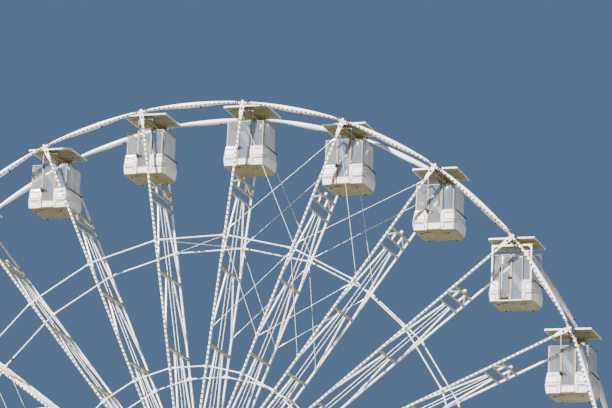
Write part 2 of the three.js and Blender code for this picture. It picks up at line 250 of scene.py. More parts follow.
class Shape:
    """Faces gathered for one mesh, each with its material."""

    def __init__(self):
        self.points = []
        self.faces = []
        self.finishes = []
        self.materials = []

    def add(self, points, faces, material):
        if material not in self.materials:
            self.materials.append(material)
        finish = self.materials.index(material)
        start = len(self.points)
        self.points += [tuple(point) for point in points]
        for face in faces:
            self.faces.append([start + i for i in face])
            self.finishes.append(finish)

    def block(self, centre, axes, half, material, edge=0.0):
        """A block on three axes, its edges cut back by edge."""
        centre = Vector(centre)
        signs = list(product(ENDS, repeat=3))
        if not edge:
            points = [centre + sum((axes[i] * s[i] * half[i] for i in range(3)), Vector()) for s in signs]
            self.add(points, BLOCK_FACES, material)
            return
        # Three points for each corner, one on each face that meets there
        points = []
        for s, flat in product(signs, range(3)):
            offset = Vector()
            for i in range(3):
                offset += axes[i] * s[i] * (half[i] - (0 if i == flat else edge))
            points.append(centre + offset)
        faces = [[3 * corner + i // 2 for corner in face] for i, face in enumerate(BLOCK_FACES)]
        for corner, (flat, step) in product(range(8), enumerate((4, 2, 1))):
            if not corner & step:
                first, second = [3 * corner + i for i in range(3) if i != flat]
                faces.append((first, first + 3 * step, second + 3 * step, second))
        faces += [range(3 * corner, 3 * corner + 3) for corner in range(8)]
        self.add(points, faces, material)

    def box(self, xs, ys, zs, material, edge=0.0):
        """A block between two values on each axis, in either order."""
        centre = [(a + b) / 2 for a, b in (xs, ys, zs)]
        half = [abs(b - a) / 2 for a, b in (xs, ys, zs)]
        self.block(centre, (X, Y, Z), half, material, edge)

    def bar(self, start, end, width, material, across=X, depth=None, edge=0.0):
        """A square or flat bar between two points; across is the direction of its width."""
        start, end = Vector(start), Vector(end)
        along = (end - start).normalized()
        depthways = along.cross(across).normalized()
        widthways = depthways.cross(along)
        half = (width / 2, (depth or width) / 2, (end - start).length / 2)
        self.block((start + end) / 2, (widthways, depthways, along), half, material, edge)

    def turned(self, profile, place, axis, material, sides=12):
        """A profile of (radius, distance along the axis) turned about the axis."""
        place, axis = Vector(place), Vector(axis).normalized()
        first = axis.orthogonal().normalized()
        second = axis.cross(first)
        points, rows = [], []
        for radius, along in profile:
            middle = place + axis * along
            if radius == 0:
                rows.append([len(points)] * sides)
                points.append(middle)
                continue
            rows.append(list(range(len(points), len(points) + sides)))
            for i in range(sides):
                turn = 2 * math.pi * i / sides
                points.append(middle + (first * math.cos(turn) + second * math.sin(turn)) * radius)
        faces = []
        for low, high in zip(rows, rows[1:]):
            for i in range(sides):
                j = (i + 1) % sides
                corner = [low[i], low[j], high[j], high[i]]
                face = [c for k, c in enumerate(corner) if c != corner[k - 1]]
                if len(face) > 2:
                    faces.append(face)
        for row in (rows[0], rows[-1]):
            if row[0] != row[1]:
                faces.append(row)
        self.add(points, faces, material)

    def rod(self, start, end, radius, material, sides=10):
        start, end = Vector(start), Vector(end)
        length = (end - start).length
        self.turned(((radius, 0), (radius, length)), start, end - start, material, sides)

    def bolts(self, places, axis, radius=0.018, material=None):
        """Hexagon bolts on round washers, all along one axis."""
        head = ((radius * 1.5, -0.004), (radius * 1.5, 0.005), (radius, 0.005), (radius, 0.020), (0, 0.020))
        for place in places:
            self.turned(head, place, axis, material or GALVANISED, 6)

    def loft(self, loops, material):
        """A closed solid through loops with equal numbers of points."""
        count = len(loops[0])
        points = [point for loop in loops for point in loop]
        faces = []
        for row, i in product(range(len(loops) - 1), range(count)):
            j = (i + 1) % count
            a, b = row * count, (row + 1) * count
            faces.append((a + i, a + j, b + j, b + i))
        faces.append(list(range(count)))
        faces.append(list(range(len(points) - count, len(points))))
        self.add(points, faces, material)

    def plate(self, outline, place, axes, thickness, material):
        """An outline in the first two axes, made thick both ways along the third."""
        place = Vector(place)
        first, second, third = axes
        loops = [
            [place + first * u + second * v + third * side * thickness / 2 for u, v in outline]
            for side in ENDS
        ]
        self.loft(loops, material)

    def mesh(self, name):
        made = bpy.data.meshes.new(name)
        made.from_pydata(self.points, [], self.faces)
        for material in self.materials:
            made.materials.append(material)
        made.polygons.foreach_set("material_index", self.finishes)
        tidy = bmesh.new()
        tidy.from_mesh(made)
        bmesh.ops.recalc_face_normals(tidy, faces=tidy.faces)
        tidy.to_mesh(made)
        tidy.free()
        made.shade_smooth()
        made.set_sharp_from_angle(angle=SHARP)
        return made


def put(name, data):
    """A new object in the scene."""
    made = bpy.data.objects.new(name, data)
    bpy.context.scene.collection.objects.link(made)
    return made


def place(mesh, name, body, slot, replaced=(), matrix=None):
    """Puts a mesh in the scene as a piece that rides on a body."""
    piece = put(name, mesh)
    if matrix is not None:
        piece.matrix_world = matrix
        bpy.context.view_layer.update()
    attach(piece, body)
    if replaced:
        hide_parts(*replaced)


# Materials


class Finish:
    """A principled material with its nodes at hand."""

    def __init__(self, name, **sockets):
        self.material = bpy.data.materials.new(name)
        self.material.use_nodes = True
        self.nodes = self.material.node_tree.nodes
        self.links = self.material.node_tree.links
        self.shader = self.nodes["Principled BSDF"]
        for socket, value in sockets.items():
            self.shader.inputs[socket.replace("_", " ")].default_value = value
        self.where = self.nodes.new("ShaderNodeTexCoord").outputs["Object"]

    def feed(self, socket, value):
        if isinstance(value, bpy.types.NodeSocket):
            self.links.new(value, socket)
        else:
            socket.default_value = value

    def node(self, kind, inputs=None, **settings):
        made = self.nodes.new("ShaderNode" + kind)
        for key, value in settings.items():
            setattr(made, key, value)
        for key, value in (inputs or {}).items():
            self.feed(made.inputs[key], value)
        return made

    def noise(self, scale, detail=4.0, stretch=(1, 1, 1), roughness=0.55):
        moved = self.node("Mapping", {"Vector": self.where, "Scale": stretch})
        inputs = {"Vector": moved.outputs[0], "Scale": scale, "Detail": detail, "Roughness": roughness}
        return self.node("TexNoise", inputs).outputs["Fac"]

    def ramp(self, value, *stops):
        made = self.node("ValToRGB", {"Fac": value})
        for step, (at, color) in zip(made.color_ramp.elements, stops):
            step.position = at
            step.color = (*color, 1)
        return made.outputs["Color"]

    def grey(self, value, *stops):
        return self.ramp(value, *[(at, (level, level, level)) for at, level in stops])

    def mix(self, factor, first, second):
        made = self.node("Mix", data_type="RGBA")
        for socket, value in zip((made.inputs[0], made.inputs[6], made.inputs[7]), (factor, first, second)):
            self.feed(socket, (*value, 1) if isinstance(value, tuple) else value)
        return made.outputs[2]

    def set(self, socket, value):
        self.links.new(value, self.shader.inputs[socket])

    def bump(self, height, strength, distance=0.002):
        inputs = {"Height": height, "Strength": strength, "Distance": distance}
        self.set("Normal", self.node("Bump", inputs).outputs[0])


def painted(name, color, worn, grime, rough=(0.32, 0.55), streak=(1, 1, 1), amount=0.5, **sockets):
    """Gloss paint with mottling, thin dirt and a slight orange-peel surface."""
    finish = Finish(name, **sockets)
    patches = finish.noise(1.7, 6)
    base = finish.mix(finish.grey(patches, (0.38, 0), (0.68, 1)), color, worn)
    dirt = finish.noise(5.5, 8, streak, 0.65)
    mask = finish.grey(dirt, (0.52, 0), (0.78, amount))
    finish.set("Base Color", finish.mix(mask, base, grime))
    finish.set("Roughness", finish.grey(dirt, (0.35, rough[0]), (0.75, rough[1])))
    finish.bump(finish.noise(160, 3), 0.12)
    return finish.material


def metal(name, color, dark, rough, scale):
    """Bare metal with a spangled grain."""
    finish = Finish(name, Metallic=0.9)
    grain = finish.node("TexVoronoi", {"Vector": finish.where, "Scale": scale}).outputs["Color"]
    level = finish.node("SeparateColor", {"Color": grain}).outputs[0]
    finish.set("Base Color", finish.ramp(level, (0.0, dark), (1.0, color)))
    finish.set("Roughness", finish.grey(finish.noise(14, 5), (0.3, rough[0]), (0.7, rough[1])))
    finish.bump(finish.noise(90, 4), 0.15)
    return finish.material


def dark_rubber(name, color):
    finish = Finish(name, Specular_IOR_Level=0.15)
    dust = finish.noise(40, 5)
    finish.set("Base Color", finish.mix(dust, color, tuple(c * 1.9 for c in color)))
    finish.set("Roughness", finish.grey(dust, (0.3, 0.55), (0.7, 0.8)))
    finish.bump(finish.noise(300, 2), 0.2)
    return finish.material


def glazing(name):
    """Clear acrylic with a faint blue tint and a little cloudiness in its roughness; its pale grey base
    colour is a painted reflection of bright ground and clouds, denser where it is seen at a slant.
    """
    finish = Finish(name, Alpha=0.18, IOR=1.49, Coat_Weight=0.4)
    haze_and_painted_reflection = finish.noise(3.0, 5)
    # Pale grey base colour: painted reflection of bright ground and clouds
    finish.set("Base Color", finish.ramp(haze_and_painted_reflection, (0.3, (0.64, 0.66, 0.71)), (0.7, (0.72, 0.74, 0.78))))
    finish.set("Roughness", finish.grey(haze_and_painted_reflection, (0.3, 0.03), (0.7, 0.12)))
    slant = finish.node("LayerWeight", {"Blend": 0.5}).outputs["Facing"]
    finish.set("Alpha", finish.grey(slant, (0.25, 0.075), (0.70, 0.72)))
    return finish.material


def chequered(name):
    """Aluminium deck plate with short raised bars in alternating directions."""
    finish = Finish(name, Metallic=0.75)
    spread = finish.noise(2.2, 6)
    finish.set("Base Color", finish.ramp(spread, (0.35, (0.30, 0.31, 0.32)), (0.7, (0.52, 0.53, 0.54))))
    finish.set("Roughness", finish.grey(spread, (0.3, 0.35), (0.7, 0.62)))
    bars = []
    for turn in (45, -45):
        turned = finish.node("Mapping", {"Vector": finish.where, "Rotation": (0, 0, math.radians(turn))})
        wave = finish.node("TexBrick", {"Vector": turned.outputs[0], "Scale": 18.0, "Mortar Size": 0.035})
        bars.append(wave.outputs["Fac"])
    both = finish.node("Math", {0: bars[0], 1: bars[1]}, operation="MULTIPLY").outputs[0]
    finish.bump(both, 0.6, 0.004)
    return finish.material


STREAKS = (6, 6, 0.7)
STEEL = painted("white_steel", (0.84, 0.82, 0.76), (0.76, 0.74, 0.68), (0.42, 0.38, 0.31), amount=0.45)
# Tan olive for the struts and the stay rods' foot block: light steel darkened to paint the shade under the
# wheel with warm ground bounce
PAINTED_SHADE_STRUT = painted("strut_painted_shade", (0.34, 0.31, 0.22), (0.29, 0.265, 0.185), (0.16, 0.13, 0.085))
SHELL = painted(
    "cabin_shell", (0.84, 0.82, 0.78), (0.78, 0.76, 0.72), (0.50, 0.48, 0.43),
    rough=(0.2, 0.42), streak=STREAKS, amount=0.35, Coat_Weight=0.6, Coat_Roughness=0.12,
)
# Darkened olive for the pan, the canopy's underside and ribs, the pivot shaft and its caps: painted shade
# with warm light bounced up from the ground
PAINTED_SHADE_OLIVE = painted(
    "cabin_underside", (0.225, 0.218, 0.122), (0.195, 0.188, 0.104), (0.11, 0.10, 0.06), rough=(0.5, 0.75)
)
DOOR_PANEL = painted("door_panel", (0.80, 0.76, 0.74), (0.74, 0.70, 0.67), (0.5, 0.45, 0.40), streak=STREAKS)
WINDOW_FRAME = painted(
    "window_frame", (0.36, 0.29, 0.23), (0.31, 0.25, 0.20), (0.18, 0.14, 0.10), rough=(0.3, 0.5)
)
# Near-black strips laid into the tub's grooves: painted shade of the grooves
GROOVE_SHADE = painted(
    "groove_painted_shade", (0.040, 0.037, 0.032), (0.032, 0.030, 0.026), (0.02, 0.018, 0.015),
    rough=(0.5, 0.7), Specular_IOR_Level=0.2,
)
GALVANISED = metal("galvanised_steel", (0.62, 0.63, 0.64), (0.50, 0.51, 0.53), (0.35, 0.55), 45)
DARK_STEEL = painted(
    "dark_steel", (0.020, 0.017, 0.014), (0.030, 0.025, 0.020), (0.060, 0.042, 0.028),
    rough=(0.45, 0.65), Specular_IOR_Level=0.12,
)
RUBBER = dark_rubber("black_rubber", (0.018, 0.018, 0.019))
GLASS = glazing("glazing_painted_reflection")
LAMP = painted(
    "lamp_cap", (0.060, 0.043, 0.030), (0.048, 0.034, 0.024), (0.03, 0.022, 0.016),
    rough=(0.3, 0.5), Specular_IOR_Level=0.15,
)
SEAT = painted("seat_moulding", (0.30, 0.32, 0.35), (0.26, 0.28, 0.30), (0.16, 0.16, 0.16))
STAND_PAINT = painted("stand_steel", (0.78, 0.79, 0.79), (0.70, 0.71, 0.71), (0.42, 0.40, 0.36))
DECK = chequered("chequer_plate")
FLOOR = painted(
    "studio_floor", (0.180, 0.170, 0.150), (0.176, 0.166, 0.146), (0.172, 0.162, 0.142), rough=(0.8, 0.9)
)


# Wheel


def half_spacing(radius):
    """Half the distance between the front and back chords at a radius."""
    return (HUB_SPACING + (RIM_SPACING - HUB_SPACING) * radius / WHEEL_RADIUS) / 2


def spoke_angle(number):
    return math.radians(FIRST_ANGLE + (number - 1) * BAY_ANGLE)


def directions(turn):
    """Outward and tangent directions at an angle round the wheel."""
    return Vector((math.sin(turn), 0, math.cos(turn))), Vector((math.cos(turn), 0, -math.sin(turn)))


def on_spoke(number, radius, y):
    return directions(spoke_angle(number))[0] * radius + Y * y


def lamp(shape, place, axis, size):
    """A low white socket with a brown cap in it; size is the socket's radius."""
    cap = size * 0.84
    shape.turned(((size, -0.008), (size, 0.010), (cap, 0.016), (0, 0.016)), place, axis, SHELL, 7)
    shape.turned(((cap, 0.014), (cap * 0.9, 0.034), (0, 0.040)), place, axis, LAMP, 6)


def build_spoke():
    shape = Shape()
    low = FLANGE_RADIUS + 0.001
    for side in ENDS:
        out = Y * side
        foot, head = [(0, side * half_spacing(radius), radius) for radius in (low, CHORD_TOP)]
        shape.bar(foot, head, CHORD, STEEL, edge=CHORD_EDGE)
        first, last = LAMP_RUN
        for i in range(int((last - first) / LAMP_PITCH) + 1):
            radius = first + i * LAMP_PITCH
            lamp(shape, (0, side * (half_spacing(radius) + CHORD / 2), radius), out, SPOKE_LAMP)
        # Fork plates either side of the hub flange
        flange = side * half_spacing(FLANGE_RADIUS)
        for cheek in ENDS:
            y = flange + cheek * (FLANGE_THICKNESS / 2 + 0.014)
            shape.plate(FORK_OUTLINE, Y * y, (X, Z, Y), 0.022, STEEL)
            shape.bolts([(u, y + cheek * 0.011, radius) for u, radius in FORK_BOLTS], Y * cheek)
        shape.box(about(0, 0.060), about(flange, 0.062), (low, 1.50), STEEL, SOFT)
        # Head plates that take the rim and the cabin's bearing
        y = side * (half_spacing(CHORD_TOP) + CHORD / 2 + 0.009)
        shape.plate(HEAD_OUTLINE, Y * y, (X, Z, Y), 0.018, STEEL)
        y += side * 0.009
        shape.bolts([(0, y, HEAD_PIN)], out, 0.034, DARK_STEEL)
        shape.bolts([(u, y, HEAD_BOLTS) for u in about(0, 0.058)], out, 0.011)
        inner = side * (half_spacing(PIVOT_RADIUS) - CHORD / 2)
        shape.turned(HOUSING, (0, inner, PIVOT_RADIUS), out, STEEL, 18)
    # Struts between the front and back chords, with their end plates, painted in the tan that stands for
    # their shade
    for radius in STRUT_RADII:
        reach = half_spacing(radius) - CHORD / 2
        width = STRUT if radius > MID_RING else LOWER_STRUT
        shape.bar((0, -reach, radius), (0, reach, radius), width, PAINTED_SHADE_STRUT, edge=BROAD)
        for side in ENDS:
            y = side * (reach - 0.008)
            shape.bar((0, y, radius - 0.075), (0, y, radius + 0.075), 0.104, PAINTED_SHADE_STRUT, depth=0.016)
            places = [(u, y - side * 0.008, radius + v) for u, v in spots(0.038, 0.056)]
            shape.bolts(places, Y * -side, 0.008)
    for (strut, foot), side in product(DIAGONAL_RUNS, ENDS):
        top = side * half_spacing(strut) / 3
        end = side * (half_spacing(foot) - CHORD / 2)
        shape.bar((0, top, strut - STRUT / 2), (0, end, foot), DIAGONAL, STEEL, edge=SOFT)
        left, right = (0, top - side * 0.10, strut - 0.05), (0, top + side * 0.12, strut - 0.05)
        shape.bar(left, right, GUSSET, STEEL, depth=GUSSET_DEPTH)
        shape.bar((0, end, foot - 0.12), (0, end, foot + 0.20), GUSSET, STEEL, depth=GUSSET_DEPTH)
    # Head frame: short posts and corner braces between the two outer struts, and the lamp on top
    outer, second = STRUT_RADII[:2]
    for side in ENDS:
        y = side * half_spacing(outer) / 3
        corner = (0, side * (half_spacing(second) - CHORD / 2), second + 0.03)
        shape.bar((0, y, second), (0, y, outer), HEAD_POST, STEEL, edge=SOFT)
        shape.bar((0, y, outer - 0.05), corner, HEAD_BRACE, STEEL, edge=THIN)
    arc = [math.radians(a) for a in range(30, 181, 25)]
    ball = [(BALL * math.sin(a), BALL + 0.016 - BALL * math.cos(a)) for a in arc]
    ball = [(0.030, 0.0), (0.030, 0.025)] + ball + [(0, 2 * BALL + 0.016)]
    shape.turned(ball, (0, 0, outer + STRUT / 2), Z, SHELL, 16)
    shape.box(about(0, 0.07), about(0, 0.11), (outer - 0.005, outer + 0.055), WINDOW_FRAME, BROAD)
    # Twin stay rods with cross ties
    top, bottom = STRUT_RADII[2] - STRUT / 2, FLANGE_RADIUS + 0.05
    for y in about(0, STAY_ROD_Y):
        shape.rod((0, y, bottom), (0, y, top), STAY_ROD, STEEL, 8)
    radius = bottom + 0.7
    while radius < top:
        if min(abs(radius - strut) for strut in STRUT_RADII) > 0.2:
            shape.bar((0, -0.24, radius), (0, 0.24, radius), 0.030, STEEL, depth=0.012)
        radius += TIE_PITCH
    reach = half_spacing(bottom) - 0.05
    # Foot block of the stay rods, painted in the struts' shade tan
    shape.box(about(0, 0.05), about(0, reach), about(bottom, 0.03), PAINTED_SHADE_STRUT, SOFT)
    return shape.mesh("spoke")


def rim_tube(station):
    """Radius of a rim tube at a share of its bay: it swells from its necks to the middle."""
    along = (station - RIM_NECK_END) / (1 - 2 * RIM_NECK_END)
    swell = (1 - math.cos(2 * math.pi * min(max(along, 0), 1))) / 2
    return RIM_NECK + (RIM_SPAN - RIM_NECK) * swell


def rim_frame(turn, y, tube):
    """Centre of a rim tube with its outward and tangent directions."""
    outward, tangent = directions(turn)
    return outward * (WHEEL_RADIUS + RIM_OUTSIDE - tube) + Y * y, outward, tangent


def build_rim(side):
    shape = Shape()
    y, out = side * RIM_SPACING / 2, Y * side
    lamps = round(WHEEL_RADIUS * math.radians(BAY_ANGLE) / LAMP_PITCH)
    angles = [2 * math.pi * j / RIM_SIDES for j in range(RIM_SIDES)]

    def at(number, station):
        """Radius of the tube, its centre and directions at a share of the bay after a spoke."""
        tube = rim_tube(station)
        return tube, *rim_frame(spoke_angle(number + station), y, tube)

    for number in range(1, BAYS + 1):
        loops = []
        for i in range(RIM_STEPS + 1):
            station = RIM_NECK_END + (1 - 2 * RIM_NECK_END) * i / RIM_STEPS
            tube, centre, outward, _ = at(number, station)
            loops.append([centre + (outward * math.cos(a) + out * math.sin(a)) * tube for a in angles])
        shape.loft(loops, STEEL)
        for i in range(2, lamps - 1):
            tube, centre, outward, _ = at(number, i / lamps)
            axis = out * math.cos(LAMP_LEAN) - outward * math.sin(LAMP_LEAN)
            lamp(shape, centre + axis * (tube - 0.002), axis, RIM_LAMP)
        # Cable clips on the inner and outer edge
        for station, edge in RIM_CLIPS:
            tube, centre, outward, tangent = at(number, station)
            clip = centre + outward * edge * (tube + 0.010)
            shape.block(clip, (tangent, out, outward), (0.030, 0.045, 0.022), RUBBER, SOFT)
        rim_joint(shape, spoke_angle(number), y, out)
    return shape.mesh("rim")


def rim_joint(shape, turn, y, out):
    """The neck over a spoke: a short tube, a saddle block and two bolted cheek plates, with dark end collars
    that paint the shade of the gaps at the joint.
    """
    centre, outward, tangent = rim_frame(turn, y, RIM_NECK)
    axes = (tangent, out, outward)
    reach = WHEEL_RADIUS * math.radians(BAY_ANGLE) * RIM_NECK_END
    shape.rod(centre - tangent * reach, centre + tangent * reach, RIM_NECK - 0.006, STEEL, 12)
    saddle = (SADDLE_REACH, RIM_NECK + 0.012, 0.042)
    shape.block(centre + outward * SADDLE_LIFT, axes, saddle, DARK_STEEL, THIN)
    for cheek in ENDS:
        face = out * cheek
        plate_at = centre + face * (RIM_NECK + 0.004) - outward * 0.020
        shape.block(plate_at, axes, (0.24, 0.008, 0.034), STEEL, FINE)
        cover = centre + face * (RIM_NECK + 0.018) + outward * 0.010
        shape.block(cover, axes, (0.046, 0.008, 0.074), STEEL, FINE)
        for shift, size, finish in ((0.20, 0.024, DARK_STEEL), (0.09, 0.014, GALVANISED)):
            places = [plate_at + tangent * u + face * 0.008 for u in about(0, shift)]
            shape.bolts(places, face, size, finish)
    # Dark collars at the neck's ends: painted shade of the gaps between the rim tube and the joint
    wide, narrow = RIM_NECK + 0.016, RIM_NECK - 0.008
    collar = ((narrow, 0), (wide, 0), (wide, 0.024), (narrow, 0.024))
    for end in ENDS:
        start = centre + tangent * (end * (reach - 0.012) - 0.012)
        shape.turned(collar, start, tangent, DARK_STEEL, 16)


def build_ring(radius, side):
    """Straight tubes from spoke to spoke, with flattened ends bolted beside the chords."""
    shape = Shape()
    y = side * (half_spacing(radius) - CHORD / 2 - RING_TUBE - 0.002)
    for number in range(1, BAYS + 1):
        start, end = [on_spoke(n, radius, y) for n in (number, number + 1)]
        along = (end - start).normalized()
        shape.rod(start + along * 0.14, end - along * 0.14, RING_TUBE, STEEL, 12)
        for place, inward in ((start, along), (end, -along)):
            shape.bar(place - inward * 0.02, place + inward * 0.22, 0.016, STEEL, across=Y, depth=0.062)
        outward, tangent = directions(spoke_angle(number))
        shape.block(start, (tangent, Y, outward), (0.08, 0.024, 0.07), STEEL, SOFT)
        shape.bolts([start + tangent * u - Y * side * 0.024 for u in about(0, 0.05)], Y * -side, 0.012)
        if number - 2 in BRACED_SPOKES:
            clamp = start + along * RING_CLAMP_REACH
            shape.block(clamp, (along, Y, outward), (0.045, 0.045, 0.055), RUBBER, BROAD)
    return shape.mesh("ring")


def build_bracing():
    """Crossed stay rods in the bays beside every sixth spoke, front and back."""
    shape = Shape()

    def stay(start, end):
        along = (end - start).normalized()
        shape.rod(start, end, CABLE_TUBE, STEEL, 8)
        for place, inward in ((start, along), (end, -along)):
            shape.rod(place + inward * 0.10, place + inward * 0.42, CABLE_TUBE * 1.9, GALVANISED, 8)
            shape.bar(place - inward * 0.03, place + inward * 0.12, 0.05, STEEL, across=Y, depth=0.02)

    def beside(number, other, radius, y):
        """A point on the flank of a spoke that faces another spoke."""
        outward, tangent = directions(spoke_angle(number))
        return outward * radius + Y * y + tangent * math.copysign(STAY_OFFSET, other - number)

    for braced in BRACED_SPOKES:
        for first, second in ((0, 1), (1, 0), (1, 2), (2, 1)):
            first, second = braced + first, braced + second
            for side, (near, far, inboard) in product(ENDS, STAY_ENDS):
                chord = side * half_spacing(far)
                end = beside(second, first, far, chord - side * inboard)
                stay(beside(first, second, near, side * (half_spacing(near) - 0.02)), end)
                shape.bar(end, beside(second, first, far, chord), 0.07, STEEL, depth=0.03)
        y = half_spacing(MID_RING) - CHORD
        for side in ENDS:
            stay(on_spoke(braced - 1, MID_RING, side * y), on_spoke(braced, MID_RING, -side * y))
    return shape.mesh("bracing")


def build_hub():
    shape = Shape()
    flange = half_spacing(FLANGE_RADIUS)
    half = FLANGE_THICKNESS / 2
    outer, inner = flange + half, flange - half
    rim = FLANGE_RADIUS - 0.012
    front = [
        (0, -SHAFT_END), (0.205, -SHAFT_END), (0.22, -2.465), (0.22, -flange - 0.30), (0.34, -flange - 0.28),
        (0.50, -outer), (rim, -outer), (FLANGE_RADIUS, -outer + 0.012), (FLANGE_RADIUS, -inner - 0.012),
        (rim, -inner), (0.66, -inner), (0.62, -inner + 0.10),
    ]
    back = [(radius, -along) for radius, along in front[::-1]]
    shape.turned(front + back, (0, 0, 0), Y, STEEL, 72)
    for side in ENDS:
        out = Y * side
        for i in range(12):
            outward, tangent = directions(math.radians(FIRST_ANGLE + 7.5 + i * 30))
            shape.plate(GUSSET_OUTLINE, out * (outer - 0.01), (outward, out, tangent), 0.03, STEEL)
        for count, ring, along, size in ((24, 0.56, outer, 0.022), (8, 0.14, SHAFT_END, 0.018)):
            turns = [2 * math.pi * i / count for i in range(count)]
            shape.bolts([directions(turn)[0] * ring + out * along for turn in turns], out, size)
        shape.turned(SHAFT_CAP, out * SHAFT_END, out, DARK_STEEL, 18)
    return shape.mesh("hub")


# Cabins


def half_outline(half_x, half_y, start):
    """The right half of the cabin's plan: flat front, cut corner and flat side, with eased creases."""
    flat_x = min(FRONT_FLAT, half_x - 0.045)
    flat_y = min(SIDE_FLAT, half_y - 0.045)
    cut = Vector((half_x - flat_x, half_y - flat_y)).normalized() * CREASE
    points = [
        (start, -half_y),
        (flat_x - CREASE, -half_y),
        (flat_x - CREASE * 0.3, -half_y + CREASE * 0.12),
        (flat_x + cut.x, -half_y + cut.y),
        (half_x - cut.x, -flat_y - cut.y),
        (half_x - CREASE * 0.12, -flat_y - CREASE * 0.3),
        (half_x, -flat_y + CREASE),
    ]
    return points + [(x, -y) for x, y in reversed(points)]


def wall(shape, rows, thickness, material, starts):
    """A wall round the right and left of the cabin, open at the front and back doors."""
    for side, start in zip(ENDS, starts):
        loops = []
        for z, half_x, half_y in rows:
            outer = half_outline(half_x, half_y, start)
            inner = half_outline(half_x - thickness, half_y - thickness, start)
            loops.append([(side * x, y, z) for x, y in outer + inner[::-1]])
        shape.loft(loops, material)


def front_band(shape, low, high, half_x, half_y, thickness, material, starts):
    """Bands on the front and back only, each from a door to the end of its cut corner."""
    for (hand, start), side in product(zip(ENDS, starts), ENDS):
        outer = half_outline(half_x, half_y, start)[:6]
        inner = half_outline(half_x - thickness, half_y - thickness, start)[:6]
        loops = [[(hand * x, side * y, z) for x, y in outer + inner[::-1]] for z in (low, high)]
        shape.loft(loops, material)


def door_leaf(shape, left, right, y, panel_top, frame_width):
    """One glazed door leaf in its frame, with a closed panel at the foot."""
    bottom, top = DOOR_BOTTOM, GLAZING_TOP
    depth = about(y, 0.018)
    for xs, zs in (
        ((left, left + frame_width), (bottom, top)),
        ((right - frame_width, right), (bottom, top)),
        ((left, right), (top - frame_width, top)),
        ((left, right), (bottom, bottom + frame_width)),
    ):
        shape.box(xs, depth, zs, WINDOW_FRAME, THIN)
    if panel_top > bottom + frame_width:
        panel = (left + 0.01, right - 0.01)
        shape.box(panel, about(y, 0.012), (bottom + 0.01, panel_top), DOOR_PANEL, FINE)
        shape.box((left, right), depth, (panel_top, panel_top + 0.03), WINDOW_FRAME, THIN)
    pane = (left + frame_width / 2, right - frame_width / 2)
    shape.box(pane, about(y, 0.005), (panel_top + 0.01, top - frame_width / 2), GLASS)
    seal = frame_width + 0.008
    for x in (left + seal, right - seal):
        shape.box(about(x, 0.006), about(y, 0.010), (panel_top + 0.03, top - frame_width), RUBBER)


def canopy(shape):
    half_x, half_y = CANOPY_HALF

    def outline(inset, z):
        points = []
        radius = max(CANOPY_CORNER - inset, 0.012)
        for turn in range(0, 360, 15):
            a = math.radians(turn + 7.5)
            x = math.copysign(half_x - inset - radius, math.cos(a)) + radius * math.cos(a)
            y = math.copysign(half_y - inset - radius, math.sin(a)) + radius * math.sin(a)
            points.append((x, y, z))
        return points

    skirt = [(0.0, CANOPY_BOTTOM), (0.0, CANOPY_TOP - 0.022), (0.014, CANOPY_TOP - 0.008)]
    crown = [(0.10, CANOPY_TOP - 0.004), (0.5, CANOPY_TOP)]
    shape.loft([outline(*row) for row in skirt + crown], SHELL)
    # The canopy's underside plate is painted in the olive that stands for its shade
    shape.loft([outline(0.030, CANOPY_BOTTOM - 0.003), outline(0.030, CANOPY_BOTTOM + 0.004)], PAINTED_SHADE_OLIVE)
    # Ribs under the canopy, painted in the same shade olive
    for x in (-0.60, -POST_X, POST_X, 0.60):
        zs = (CANOPY_BOTTOM - 0.018, CANOPY_BOTTOM)
        shape.box(about(x, 0.02), about(0, half_y - 0.05), zs, PAINTED_SHADE_OLIVE, THIN)
    for y in about(0, 0.40):
        zs = (CANOPY_BOTTOM - 0.022, CANOPY_BOTTOM)
        shape.box(about(0, half_x - 0.05), about(y, 0.02), zs, PAINTED_SHADE_OLIVE, THIN)
    shape.bolts([(x, y, CANOPY_TOP - 0.006) for x, y in spots(0.78, 0.80)], Z, 0.016)


def bench(shape, side):
    """A moulded bench along one side of the cabin."""
    for outline, reach, material in ((SEAT_OUTLINE, 0.60, SEAT), (SEAT_FRONT, 0.58, SHELL)):
        shape.loft([[(side * x, y, z) for x, z in outline] for y in about(0, reach)], material)


